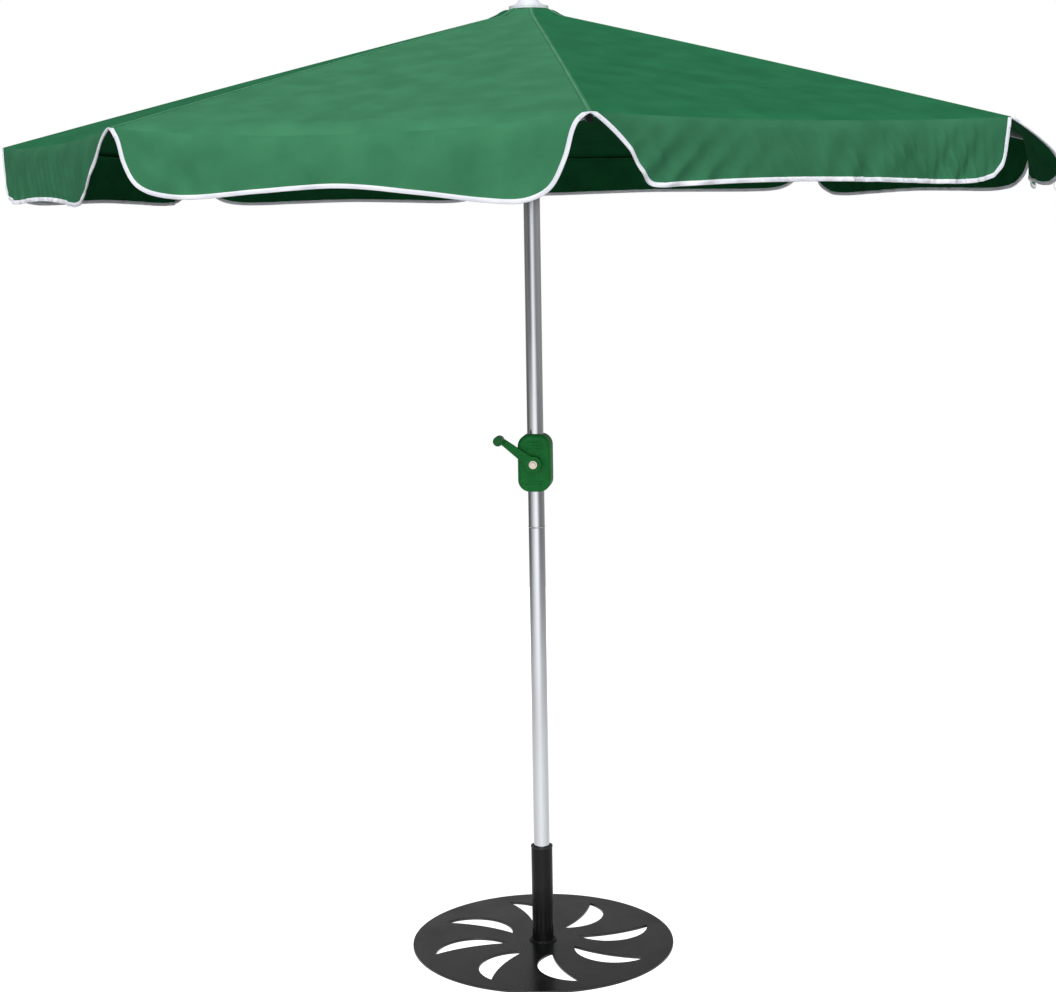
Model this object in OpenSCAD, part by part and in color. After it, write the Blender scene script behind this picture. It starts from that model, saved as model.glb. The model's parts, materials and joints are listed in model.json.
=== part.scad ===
/* [Canopy] */
// Radius of the open canopy at its rib tips
canopy_r = 1185; // [1000:5:1250]
// Height of the rib pivots in the top hub above the floor
hub_z = 2188; // [2100:1:2300]
// Slope of the open ribs below level, in degrees
rib_slope = 14; // [10:0.5:18]
// Slope of the folded ribs below level, in degrees
rib_slope_folded = 80; // [70:1:80]
// Drop of the hanging valance below the canopy edge
valance_drop = 131; // [60:1:160]
// Thickness of the canopy cloth's solids
cloth_t = 1.5; // [1:0.1:3]

/* [Rib] */
// Width of a rib tube
rib_w = 12; // [10:0.5:14]
// Height of a rib tube
rib_h = 16; // [14:0.5:20]
// Wall of the rib and strut tubes
bar_wall = 1; // [0.8:0.1:1.5]
// Distance from a hub pivot to the strut pivot of the same rib
strut_l = 455; // [400:5:470]
// Width of a strut tube
strut_w = 8; // [6:0.5:8]
// Height of a strut tube
strut_h = 12; // [10:0.5:12]

/* [Hub and runner] */
// Radius of the wire rings that the ribs and struts pivot on
ring_r = 32; // [30:0.5:36]
// Outer radius of the hub and of the runner
hub_r = 38; // [37:0.5:44]
// Radius of the cord pulley's groove
pulley_r = 9.5; // [9:0.5:9.5]

/* [Pole] */
// Outer diameter of the pole
pole_d = 38; // [38:1:38]
// Wall of the pole
pole_wall = 1.2; // [1:0.1:1.6]
// Height of the joint between the lower and the upper pole
pole_joint_z = 1019.5; // [800:0.5:1050]

/* [Crank] */
// Height of the crank's axle
crank_z = 1173; // [1120:1:1200]
// Width of the crank housing
housing_w = 77; // [74:1:90]
// Height of the crank housing
housing_h = 134; // [120:1:150]
// Corner radius of the crank housing
housing_corner = 28; // [20:1:36]
// Depth of the housing from the pole's axis to its front face
housing_front_y = 34; // [32:1:40]
// Depth of the housing from the pole's axis to its back face
housing_back_y = 28; // [27:1:34]
// Length of the crank arm between its two axes
arm_l = 96; // [70:1:110]
// Lift of the crank arm above level at rest, in degrees
arm_lift = 37; // [0:1:60]
// Radius of the crank knob
knob_r = 11.3; // [10:0.1:14]

/* [Base] */
// Radius of the base plate
plate_r = 315; // [280:1:350]
// Thickness of the base plate
plate_t = 6; // [4:0.5:10]
// Number of crescent cut-outs in the base plate
cutout_count = 8; // [6:1:8]
// Outer diameter of the base tube
tube_d = 51; // [51:1:51]
// Height of the base tube's rim above the floor
tube_z = 240; // [180:1:300]

/* [Hidden] */
// Ribs and facing: the crank faces -Y
rib_count = 8;
first_rib = -77.5;
gore = 360 / rib_count;
NUMBERS = [1:rib_count];
$fn = 64;
eps = 0.01;

// Fits
run_gap = 0.06;
free_gap = 0.3;
seat_gap = 0.04;

// Poles
pole_r = pole_d / 2;
pole_bore_r = pole_r - pole_wall;
spigot_l = 90;
pole_top_z = hub_z - 9;

// Hub pivots, rib and strut: equal lengths keep the runner on the pole at every angle
wire_r = 1.5;
wire_bore_r = 1.6;
eye_r = 5;
blade_t = 3;
slot_w = 4;
slot_r = 26.5;
channel_r = 30.4;
pivot_drop = 15;
pin_r = 2;
ear_gap = strut_w / 2 + free_gap;
ear_t = 1.7;
ear_r = 6;
rib_l = (canopy_r - ring_r) / cos(rib_slope);
rib_tube_x = 24;
rib_tube_end = rib_l - 14;
tip_l = 8;
strut_x = sqrt(pow(strut_l, 2) - pow(pivot_drop, 2));
strut_tube_x = 22;
strut_slope = rib_slope + asin(pivot_drop / strut_l);
runner_z = hub_z - 2 * strut_l * sin(strut_slope);

// Cord pulley and cord route; the cord lies on the middle line of a gore
cord_r = 1.5;
cord_dir = first_rib + gore / 2;
cord_in_r = 7;
pulley_x = cord_in_r + pulley_r;
cord_out_r = pulley_x + pulley_r;
pulley_z = hub_z + 3;
hub_top_z = hub_z + 15.5;
hub_low_z = hub_z - 12;
hub_skirt_z = hub_z - 45;
hub_skirt_r = 22.5;
pulley_w = 6;
pulley_rim = 1.3;
pulley_axle_r = 2;
stud_r = 3.5;
stud_l = 14;

// Runner
runner_bore_r = pole_r + 0.4;
runner_top = 10;
runner_low = 12;
runner_skirt = 30;

// Canopy cloth
panel_r0 = ring_r * cos(gore / 2);
panel_out_r = canopy_r * cos(gore / 2);
panel_slope = atan(rib_l * sin(rib_slope) / (rib_l * cos(rib_slope) * cos(gore / 2)));
panel_lift = 9.2;
panel_x0 = 14;
panel_x1 = (panel_out_r - panel_r0 - panel_lift * sin(panel_slope)) / cos(panel_slope);
seam_gap = 2;
valance_top_z = hub_z - panel_x1 * sin(panel_slope) + panel_lift * cos(panel_slope) - 1;

// Crank
drum_r = 10;
flange_r = 15.5;
drum_half = 9;
flange_t = 2;
pole_window_r = 16.2;
shaft_r = 5;
shaft_front = 48;
shaft_back = 25;
shell_wall = 2.5;
arm_hub_r = 19;
arm_hub_y = [35, 49];
arm_y = [39, 47];
arm_root_r = 12;
arm_tip_r = 7;
knob_pin_r = 3;
knob_y = [47.5, 82];
housing_mid_z = crank_z + 1;
screw_at = [29, 49];
screw_r = 2;
boss_r = 4.5;

// Base
tube_r = tube_d / 2;
tube_bore_r = 24;
bush_l = 150;
lip_r = 26.2;
lip_h = 3.5;
clamp_dir = 98;
clamp_z = 214;
clamp_r = 4;
cut_in_r = 88;
cut_out_r = 270;
cut_twist = 5;
cut_deep = 65;
cut_shallow = 13;
cut_first = 26;

function arc_r(chord, rise) = (pow(chord / 2, 2) + pow(rise, 2)) / (2 * rise);
function on_ring(r, a, z = 0) = [r * cos(a), r * sin(a), z];
function rib_angle(k) = first_rib + gore * (k - 1);
function panel_angle(k) = rib_angle(k) + gore / 2;
function panel_half(x) =
    (panel_r0 + x * cos(panel_slope) + panel_lift * sin(panel_slope)) * tan(gore / 2) - seam_gap;

// A bar's outline with cut corners, w by h, centred
module bar_outline(w, h, c) {
    polygon([[-w / 2 + c, -h / 2], [w / 2 - c, -h / 2], [w / 2, -h / 2 + c], [w / 2, h / 2 - c],
             [w / 2 - c, h / 2], [-w / 2 + c, h / 2], [-w / 2, h / 2 - c], [-w / 2, -h / 2 + c]]);
}

// A hollow bar along +X from x0 to x1, w wide in Y and h high in Z
module hollow_bar(x0, x1, w, h) {
    translate([x0, 0, 0]) rotate([90, 0, 90]) linear_extrude(x1 - x0) difference() {
        bar_outline(w, h, 1.5);
        bar_outline(w - 2 * bar_wall, h - 2 * bar_wall, 0.8);
    }
}

// A round bar along Y
module y_rod(r, y0, y1, x = 0, z = 0) {
    translate([x, y1, z]) rotate([90, 0, 0]) cylinder(r = r, h = y1 - y0);
}

// Puts a part drawn along +X on the rib line k
module at_rib(k) {
    rotate([0, 0, rib_angle(k)]) children();
}

// A flat rounded block seen from the front, centred on the crank housing
module housing_block(w, h, r, y0, y1) {
    translate([0, y1, housing_mid_z]) rotate([90, 0, 0]) linear_extrude(y1 - y0) union() {
        square([w - 2 * r, h], center = true);
        square([w, h - 2 * r], center = true);
        for (x = [-1, 1], z = [-1, 1])
            translate([x * (w / 2 - r), z * (h / 2 - r)]) circle(r);
    }
}

/* Base */

// One crescent, between a deep and a shallow arc that share their two tips
module crescent() {
    tip_in = on_ring(cut_in_r, cut_first - cut_twist);
    tip_out = on_ring(cut_out_r, cut_first);
    chord = norm(tip_out - tip_in);
    turn = atan2(tip_out.y - tip_in.y, tip_out.x - tip_in.x);
    mid = (tip_in + tip_out) / 2;
    deep_r = arc_r(chord, cut_deep);
    shallow_r = arc_r(chord, cut_shallow);
    translate([mid.x, mid.y, -1]) rotate([0, 0, turn]) linear_extrude(plate_t + 2) difference() {
        translate([0, deep_r - cut_deep]) circle(deep_r);
        translate([0, shallow_r - cut_shallow]) circle(shallow_r);
        translate([0, chord]) square(2 * chord, center = true);
    }
}

module base_plate() {
    color("#2b2c2c") difference() {
        cylinder(r = plate_r, h = plate_t);
        for (k = [1:cutout_count]) rotate([0, 0, k * 360 / cutout_count]) crescent();
    }
}

module base_tube() {
    color("#242525") difference() {
        union() {
            translate([0, 0, plate_t]) cylinder(r = tube_r, h = tube_z - plate_t);
            translate([0, 0, plate_t]) cylinder(r1 = tube_r + 4, r2 = tube_r - 0.5, h = 4.5);
            rotate([0, 0, clamp_dir]) translate([0, 0, clamp_z]) rotate([0, 90, 0])
                cylinder(r = 9, h = tube_r + 6);
        }
        translate([0, 0, plate_t - 1]) cylinder(r = tube_bore_r, h = tube_z);
        rotate([0, 0, clamp_dir]) translate([0, 0, clamp_z]) rotate([0, 90, 0])
            cylinder(r = clamp_r + run_gap, h = tube_r + 20);
    }
}

module pole_bush() {
    color("#1d1e1e") difference() {
        union() {
            translate([0, 0, tube_z - bush_l]) cylinder(r = tube_bore_r - seat_gap, h = bush_l + lip_h);
            translate([0, 0, tube_z]) cylinder(r = lip_r, h = lip_h);
        }
        translate([0, 0, tube_z - bush_l - 1]) cylinder(r = pole_r + run_gap, h = bush_l + lip_h + 2);
        rotate([0, 0, clamp_dir]) translate([0, 0, clamp_z]) rotate([0, 90, 0])
            cylinder(r = clamp_r + free_gap, h = tube_r + 20);
    }
}

module clamp_screw() {
    color("#1b1b1c") rotate([0, 0, clamp_dir]) translate([0, 0, clamp_z]) rotate([0, 90, 0])
        translate([0, 0, pole_r + free_gap]) {
            cylinder(r = clamp_r, h = 26);
            difference() {
                translate([0, 0, 15]) cylinder(r = 17, h = 15);
                for (a = [0:60:300]) rotate([0, 0, a])
                    translate([21, 0, 14]) cylinder(r = 7, h = 17);
            }
        }
}

/* Poles */

module lower_pole() {
    spigot_r = pole_bore_r - seat_gap;
    color("#9a9a9e") difference() {
        union() {
            translate([0, 0, plate_t + free_gap])
                cylinder(r = pole_r, h = pole_joint_z - plate_t - 2 * free_gap);
            translate([0, 0, pole_joint_z - 1]) cylinder(r = spigot_r, h = spigot_l);
        }
        translate([0, 0, -1]) cylinder(r = pole_bore_r, h = pole_joint_z - 5);
        translate([0, 0, -1]) cylinder(r = spigot_r - pole_wall, h = pole_joint_z + spigot_l + 10);
    }
}

module upper_pole() {
    color("#9a9a9e") difference() {
        translate([0, 0, pole_joint_z]) cylinder(r = pole_r, h = pole_top_z - pole_joint_z);
        translate([0, 0, pole_joint_z - 1]) cylinder(r = pole_bore_r, h = pole_top_z);
        y_rod(pole_window_r, -40, 40, z = crank_z);
    }
}

/* Crank housing */

// One half of the housing between y0 and y1, hollow between its face wall and the split
module housing_shell(y0, y1, cavity_y0, cavity_y1, bearing_y0, bearing_y1, bearing_bore_y1) {
    difference() {
        union() {
            difference() {
                housing_block(housing_w, housing_h, housing_corner, y0, y1);
                housing_block(housing_w - 2 * shell_wall, housing_h - 2 * shell_wall,
                              housing_corner - shell_wall, cavity_y0, cavity_y1);
            }
            for (x = [-1, 1], z = [-1, 1])
                y_rod(boss_r, y0 + 1, y1 - eps, x * screw_at.x, housing_mid_z + z * screw_at.y);
            y_rod(shaft_r + 3, bearing_y0, bearing_y1, z = crank_z);
        }
        translate([0, 0, housing_mid_z - housing_h]) cylinder(r = pole_r + seat_gap, h = 2 * housing_h);
        y_rod(shaft_r + run_gap, min(bearing_y0, y0) - 1, bearing_bore_y1, z = crank_z);
        for (x = [-1, 1], z = [-1, 1])
            y_rod(screw_r + seat_gap, -housing_front_y + 6, housing_back_y + 1,
                  x * screw_at.x, housing_mid_z + z * screw_at.y);
    }
}

module crank_housing_front() {
    color("#1a6330")
        housing_shell(-housing_front_y, 0, -housing_front_y + shell_wall, 1,
                      -housing_front_y + 1, -pole_r - 3, 1);
}

module crank_housing_rear() {
    color("#1a6330")
        housing_shell(0.1, housing_back_y, -1, housing_back_y - shell_wall,
                      pole_r + 1, housing_back_y - 1, shaft_back + 0.5);
}

module housing_screws() {
    color("#b9bcc0") for (x = [-1, 1], z = [-1, 1]) {
        y_rod(screw_r, -housing_front_y + 7, housing_back_y + eps,
              x * screw_at.x, housing_mid_z + z * screw_at.y);
        y_rod(3.6, housing_back_y, housing_back_y + 1.8, x * screw_at.x, housing_mid_z + z * screw_at.y);
    }
}

/* Crank */

module crank_spool() {
    color("#2f3032") difference() {
        union() {
            y_rod(shaft_r, -shaft_front, shaft_back, z = crank_z);
            y_rod(drum_r, -drum_half, drum_half, z = crank_z);
            for (s = [-1, 1])
                y_rod(flange_r, s * (drum_half + flange_t / 2) - flange_t / 2,
                      s * (drum_half + flange_t / 2) + flange_t / 2, z = crank_z);
        }
        y_rod(2.5 + seat_gap, -shaft_front - 1, -shaft_front + 18, z = crank_z);
    }
}

// Draws its children in the arm's own frame: +X from the axle to the knob, seen from the front
module on_arm() {
    translate([0, 0, crank_z]) rotate([0, 180 + arm_lift, 0]) children();
}

module crank_arm() {
    color("#18692f") on_arm() difference() {
        union() {
            y_rod(arm_hub_r, -arm_hub_y[1], -arm_hub_y[0]);
            y_rod(arm_tip_r, -arm_y[1], -arm_y[0], arm_l);
            translate([0, -arm_y[0], 0]) rotate([90, 0, 0]) linear_extrude(arm_y[1] - arm_y[0])
                polygon([[10, -arm_root_r], [arm_l, -arm_tip_r + 0.1],
                         [arm_l, arm_tip_r - 0.1], [10, arm_root_r]]);
            y_rod(knob_pin_r, -knob_y[1] + 4, -arm_y[0] - 1, arm_l);
        }
        y_rod(shaft_r + seat_gap, -100, 0);
    }
}

module crank_knob() {
    color("#145527") on_arm() difference() {
        y_rod(knob_r, -knob_y[1], -knob_y[0], arm_l);
        y_rod(knob_pin_r + run_gap, -knob_y[1] + 3.5, -knob_y[0] + 1, arm_l);
    }
}

module crank_screw() {
    color("#c9ccd0") {
        y_rod(2.5, -shaft_front - 3, -shaft_front + 17, z = crank_z);
        difference() {
            y_rod(9.75, -arm_hub_y[1] - 1.5, -arm_hub_y[1], z = crank_z);
            y_rod(2.5 - eps, -60, -40, z = crank_z);
        }
        y_rod(6, -arm_hub_y[1] - 4.5, -arm_hub_y[1] - 1.5 + eps, z = crank_z);
    }
}

/* Hub, runner and finial */

// The slots, ring channel and wire seat that the hub and the runner share, around a pivot height z
module pivot_cuts(z, z_top) {
    for (k = NUMBERS) at_rib(k)
        translate([slot_r, -slot_w / 2, z - 20]) cube([hub_r, slot_w, z_top - z + 21]);
    translate([0, 0, z - wire_r - 0.1]) difference() {
        cylinder(r = hub_r + 1, h = 2 * wire_r + 0.2);
        translate([0, 0, -1]) cylinder(r = channel_r, h = 2 * wire_r + 3);
    }
}

module top_hub() {
    color("#202122") difference() {
        union() {
            translate([0, 0, hub_low_z]) cylinder(r = hub_r, h = hub_top_z - hub_low_z);
            translate([0, 0, hub_skirt_z]) cylinder(r = hub_skirt_r, h = hub_low_z - hub_skirt_z + 1);
        }
        translate([0, 0, hub_skirt_z - 1]) cylinder(r = pole_r + seat_gap, h = pole_top_z - hub_skirt_z + 1);
        pivot_cuts(hub_z, hub_top_z);
        translate([0, 0, hub_top_z - stud_l - 1]) cylinder(r = stud_r + seat_gap, h = stud_l + 2);
        rotate([0, 0, cord_dir]) {
            translate([5.2, -pulley_w / 2 - 0.5, pole_top_z]) cube([23, pulley_w + 1, 30]);
            translate([cord_out_r, 0, hub_low_z - 1]) cylinder(r = 2.3, h = 5);
            y_rod(pulley_axle_r + run_gap, -9, 9, pulley_x, pulley_z);
        }
    }
}

module ring(z) {
    translate([0, 0, z]) rotate_extrude() translate([ring_r, 0]) circle(wire_r, $fn = 24);
}

module hub_ring() {
    color("#c3c5c8") ring(hub_z);
}

module runner_ring() {
    color("#c3c5c8") ring(runner_z);
}

module top_pulley() {
    color("#3a3b3d") rotate([0, 0, cord_dir]) translate([pulley_x, 0, pulley_z]) rotate([90, 0, 0]) union() {
        translate([0, 0, -8.7]) cylinder(r = pulley_axle_r, h = 17.4);
        difference() {
            translate([0, 0, -pulley_w / 2]) cylinder(r = pulley_r + pulley_rim, h = pulley_w);
            rotate_extrude() translate([pulley_r, 0]) circle(cord_r + 0.6, $fn = 24);
        }
    }
}

module runner() {
    color("#202122") difference() {
        union() {
            translate([0, 0, runner_z - runner_low]) cylinder(r = hub_r, h = runner_low + runner_top);
            translate([0, 0, runner_z - runner_skirt]) cylinder(r = hub_skirt_r, h = runner_skirt);
        }
        translate([0, 0, runner_z - 40]) cylinder(r = runner_bore_r, h = 80);
        pivot_cuts(runner_z, runner_z + runner_top);
        rotate([0, 0, cord_dir])
            translate([cord_out_r, 0, runner_z - 20]) cylinder(r = 2.3, h = 40);
    }
}

// A rim, a hollow sweep up to a neck, and a ball
module finial() {
    rim_r = 45;
    rim_h = 8;
    neck_r = 14;
    neck_h = 47;
    ball_r = 20;
    ball_h = 66;
    sweep = [for (i = [0:12]) let (a = i * 90 / 12)
        [rim_r - (rim_r - neck_r) * sin(a), neck_h - (neck_h - rim_h) * cos(a)]];
    color("#e9ecf4") translate([0, 0, hub_top_z + 0.5]) {
        rotate_extrude() polygon(concat([[0, 0], [rim_r, 0]], sweep, [[neck_r, ball_h - 8], [0, ball_h - 8]]));
        translate([0, 0, ball_h]) sphere(ball_r);
        translate([0, 0, -stud_l]) cylinder(r = stud_r, h = stud_l + 1);
    }
}

/* Lift cord: up inside the pole, over the pulley and down to the runner */

// The cord leaves the spool's turns at the height where it stands clear of their curve
wrap_r = drum_r + cord_r + 0.15;
wrap_clear = 8.5;
wrap_pitch = 2 * cord_r + 0.1;
CORD_ROUTE = concat(
    [[wrap_r, 0, crank_z + wrap_clear], [wrap_r, 0, crank_z + 30]],
    [for (t = [0.35, 0.7]) [wrap_r * (1 - t) + on_ring(cord_in_r, cord_dir).x * t,
                            on_ring(cord_in_r, cord_dir).y * t, crank_z + (pulley_z - crank_z) * t]],
    [for (a = [180:-20:0]) on_ring(pulley_x + pulley_r * cos(a), cord_dir, pulley_z + pulley_r * sin(a))],
    [on_ring(cord_out_r, cord_dir, hub_z - 60), on_ring(cord_out_r, cord_dir, runner_z - runner_low - 1)]);

CORD_SIDES = 8;
function unit(v) = v / norm(v);
function tangent(p, i) = unit(p[min(i + 1, len(p) - 1)] - p[max(i - 1, 0)]);
// Across the cord: first along the pulley's axle, then square to both
function cord_ring(c, t) =
    let (side = on_ring(1, cord_dir + 90), up = unit(cross(t, side)), across = cross(up, t))
    [for (j = [0:CORD_SIDES - 1]) let (a = j * 360 / CORD_SIDES)
        c + cord_r * (cos(a) * across + sin(a) * up)];

module swept_cord(p) {
    n = len(p);
    points = [for (i = [0:n - 1]) each cord_ring(p[i], tangent(p, i))];
    sides = [for (i = [0:n - 2], j = [0:CORD_SIDES - 1])
        let (a = i * CORD_SIDES + j, b = i * CORD_SIDES + (j + 1) % CORD_SIDES)
        [a, a + CORD_SIDES, b + CORD_SIDES, b]];
    polyhedron(points, concat(sides, [[for (j = [0:CORD_SIDES - 1]) j]],
        [[for (j = [CORD_SIDES - 1:-1:0]) (n - 1) * CORD_SIDES + j]]), convexity = 8);
}

module lift_cord() {
    color("#dcdcd6") {
        for (i = [-2:2]) translate([0, i * wrap_pitch, crank_z]) rotate([90, 0, 0])
            rotate_extrude() translate([wrap_r, 0]) circle(cord_r, $fn = 20);
        swept_cord(CORD_ROUTE);
        translate(on_ring(cord_out_r, cord_dir, runner_z - runner_low - 3.4)) sphere(3, $fn = 24);
    }
}

/* Ribs, struts and cloth */

module rib(k) {
    color("#d5d6d8") at_rib(k) translate([ring_r, 0, hub_z]) rotate([0, rib_slope, 0]) {
        difference() {
            union() {
                hollow_bar(rib_tube_x, rib_tube_end, rib_w, rib_h);
                y_rod(eye_r, -blade_t / 2, blade_t / 2);
                translate([0, -blade_t / 2, -eye_r]) cube([rib_tube_x + 4, blade_t, 2 * eye_r]);
                translate([rib_tube_x, 0, 0]) cube([14, rib_w - 1, rib_h - 1], center = true);
                for (s = [-1, 1]) translate([strut_x, s * (ear_gap + ear_t / 2), 0]) {
                    y_rod(ear_r, -ear_t / 2, ear_t / 2, z = -pivot_drop);
                    translate([-ear_r, -ear_t / 2, -pivot_drop]) cube([2 * ear_r, ear_t, pivot_drop - rib_h / 2 + 0.5]);
                }
            }
            y_rod(wire_bore_r, -5, 5);
            y_rod(pin_r + seat_gap, -12, 12, strut_x, -pivot_drop);
        }
        y_rod(pin_r, -ear_gap - ear_t - 1, ear_gap + ear_t + 1, strut_x, -pivot_drop);
        for (s = [-1, 1])
            y_rod(3.5, s * (ear_gap + ear_t + 0.6) - 0.6, s * (ear_gap + ear_t + 0.6) + 0.6, strut_x, -pivot_drop);
    }
}

// A plug in the rib's open end with a blunt nose that the cloth's corner pocket sits on
module rib_tip(k) {
    color("#e9eaec") at_rib(k) translate([ring_r, 0, hub_z]) rotate([0, rib_slope, 0]) {
        translate([rib_tube_end - 20, 0, 0]) rotate([90, 0, 90]) linear_extrude(21)
            bar_outline(rib_w - 2 * bar_wall - 0.2, rib_h - 2 * bar_wall - 0.2, 0.8);
        translate([rib_tube_end + 0.05, 0, 0]) rotate([90, 0, 90]) linear_extrude(tip_l)
            bar_outline(rib_w, rib_h, 2.5);
    }
}

module strut(k) {
    color("#d5d6d8") at_rib(k) translate([ring_r, 0, runner_z]) rotate([0, -strut_slope, 0]) difference() {
        union() {
            hollow_bar(strut_tube_x, strut_l - 8, strut_w, strut_h);
            y_rod(eye_r, -blade_t / 2, blade_t / 2);
            translate([0, -blade_t / 2, -eye_r + 0.5]) cube([strut_tube_x + 4, blade_t, 2 * eye_r - 1]);
            translate([strut_tube_x + 6, 0, 0]) cube([12, strut_w - 1, strut_h - 1], center = true);
            y_rod(strut_h / 2, -strut_w / 2, strut_w / 2, strut_l);
            translate([strut_l - 10, 0, 0]) cube([18, strut_w - 1, strut_h - 0.6], center = true);
        }
        y_rod(wire_bore_r, -5, 5);
        y_rod(pin_r + run_gap, -12, 12, strut_l);
    }
}

// One gore between two ribs, flat in its own plane
module canopy_panel(k) {
    color("#2c7352") rotate([0, 0, panel_angle(k)]) translate([panel_r0, 0, hub_z])
        rotate([0, panel_slope, 0]) translate([0, 0, panel_lift]) linear_extrude(cloth_t)
            polygon([[panel_x0, -panel_half(panel_x0)], [panel_x1, -panel_half(panel_x1)],
                     [panel_x1, panel_half(panel_x1)], [panel_x0, panel_half(panel_x0)]]);
}

// A hanging flap whose lower corners are cut away in a curve
module valance(k) {
    half = panel_half(panel_x1);
    side = [for (a = [0:15:90]) [half - 150 * (1 - cos(a)), -valance_drop * sin(a)]];
    color("#3e825c") rotate([0, 0, panel_angle(k)]) translate([panel_out_r, 0, valance_top_z])
        rotate([90, 0, -90]) linear_extrude(cloth_t)
            polygon(concat(side, [for (i = [6:-1:0]) [-side[i].x, side[i].y]]));
}

base_plate();
base_tube();
pole_bush();
clamp_screw();
lower_pole();
upper_pole();
crank_housing_front();
crank_housing_rear();
housing_screws();
top_hub();
hub_ring();
top_pulley();
finial();
lift_cord();
crank_spool();
crank_arm();
crank_knob();
crank_screw();
runner();
runner_ring();
for (k = NUMBERS) {
    rib(k);
    rib_tip(k);
    strut(k);
    canopy_panel(k);
    valance(k);
}
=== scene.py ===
"""A crank patio umbrella on a pierced steel base: the looks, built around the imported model."""

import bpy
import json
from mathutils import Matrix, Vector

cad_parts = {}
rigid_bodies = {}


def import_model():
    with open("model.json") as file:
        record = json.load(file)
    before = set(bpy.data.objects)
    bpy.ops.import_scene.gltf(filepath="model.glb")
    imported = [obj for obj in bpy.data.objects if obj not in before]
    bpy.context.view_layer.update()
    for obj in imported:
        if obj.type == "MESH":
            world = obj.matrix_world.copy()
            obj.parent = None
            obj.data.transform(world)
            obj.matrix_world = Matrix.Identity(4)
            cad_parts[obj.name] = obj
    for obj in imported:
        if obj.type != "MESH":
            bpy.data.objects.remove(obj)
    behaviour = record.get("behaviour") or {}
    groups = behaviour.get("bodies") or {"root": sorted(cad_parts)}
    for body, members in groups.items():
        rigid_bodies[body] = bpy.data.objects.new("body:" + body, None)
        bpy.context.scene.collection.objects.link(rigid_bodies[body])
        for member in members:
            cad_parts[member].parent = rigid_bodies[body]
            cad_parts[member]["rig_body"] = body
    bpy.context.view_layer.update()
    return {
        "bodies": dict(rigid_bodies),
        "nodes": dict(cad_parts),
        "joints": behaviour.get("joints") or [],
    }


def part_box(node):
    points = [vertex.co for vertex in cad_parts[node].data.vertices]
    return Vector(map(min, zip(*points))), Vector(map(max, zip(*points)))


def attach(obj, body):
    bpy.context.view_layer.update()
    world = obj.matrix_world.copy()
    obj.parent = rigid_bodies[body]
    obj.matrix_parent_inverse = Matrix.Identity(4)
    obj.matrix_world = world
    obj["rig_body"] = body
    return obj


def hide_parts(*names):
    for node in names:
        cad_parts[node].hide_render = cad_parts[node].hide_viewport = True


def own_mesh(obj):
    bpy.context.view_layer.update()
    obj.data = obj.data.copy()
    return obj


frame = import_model()

import json
import logging
import math
from contextlib import contextmanager
from dataclasses import dataclass, field
from enum import Enum
from typing import Any, Callable, Iterator, Mapping, Sequence

import bpy
import numpy as np
from mathutils import Matrix, Vector

logging.basicConfig(level=logging.INFO, format="%(name)s: %(message)s")
log = logging.getLogger("umbrella")

MM = 0.001
JOINTS = {joint["name"]: joint for joint in frame["joints"]}
RIB_COUNT = sum(1 for body in frame["bodies"] if body.startswith("rib_"))
HALF_GORE = math.pi / RIB_COUNT
# How far the ribs of the open umbrella slope down from level
RIB_SLOPE = math.radians(14.0)
# A wave texture of scale 1 repeats every 2 pi / 20 metres
WAVE_TURN = 0.314
Tree = bpy.types.NodeTree
Node = bpy.types.Node
Piece = bpy.types.Object
Triple = tuple[float, float, float]


# ---------------------------------------------------------------- small tools


def srgb(code: str) -> tuple[float, float, float, float]:
    """Turns an sRGB hex colour into linear RGBA.

    Args:
        code: six hex digits, with or without a leading hash.

    Returns:
        Linear red, green, blue and an alpha of 1.
    """
    digits = code.lstrip("#")
    values = [int(digits[i : i + 2], 16) / 255 for i in (0, 2, 4)]
    linear = [v / 12.92 if v <= 0.04045 else ((v + 0.055) / 1.055) ** 2.4 for v in values]
    return (linear[0], linear[1], linear[2], 1.0)


def add_node(tree: Tree, kind: str, inputs: Mapping[Any, Any], **settings: Any) -> Node:
    """Adds one node with its settings and links.

    Args:
        tree: the node tree that it goes in.
        kind: the node's type.
        inputs: socket name or number to a value, or to the output socket that feeds it.
        settings: the node's own properties.

    Returns:
        The new node.
    """
    made = tree.nodes.new(kind)
    for name, value in settings.items():
        setattr(made, name, value)
    for socket, value in inputs.items():
        if isinstance(value, bpy.types.NodeSocket):
            tree.links.new(value, made.inputs[socket])
        else:
            made.inputs[socket].default_value = value
    return made


def only_select(piece: Piece) -> None:
    """Leaves one object selected and active."""
    bpy.ops.object.select_all(action="DESELECT")
    piece.select_set(True)
    bpy.context.view_layer.objects.active = piece


@contextmanager
def editing(piece: Piece) -> Iterator[None]:
    """Opens a piece's mesh in edit mode with all of it selected, and closes it again."""
    only_select(piece)
    bpy.ops.object.mode_set(mode="EDIT")
    bpy.ops.mesh.select_all(action="SELECT")
    yield
    bpy.ops.object.mode_set(mode="OBJECT")


def primitive(name: str, add: Callable[..., Any], **settings: Any) -> Piece:
    """Adds one of Blender's own shapes with its settings, and names it."""
    bpy.ops.object.select_all(action="DESELECT")
    add(**settings)
    piece = bpy.context.object
    piece.name = name
    return piece


def apply_modifier(piece: Piece, kind: str, **settings: Any) -> None:
    """Adds a modifier with its settings and applies it to the mesh."""
    only_select(piece)
    modifier = piece.modifiers.new(kind.lower(), kind)
    for name, value in settings.items():
        setattr(modifier, name, value)
    bpy.ops.object.modifier_apply(modifier=modifier.name)


def smooth_by_angle(piece: Piece, degrees: float = 35) -> None:
    """Shades a piece smooth, with edges over an angle left sharp."""
    only_select(piece)
    bpy.ops.object.shade_smooth_by_angle(angle=math.radians(degrees))


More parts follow.
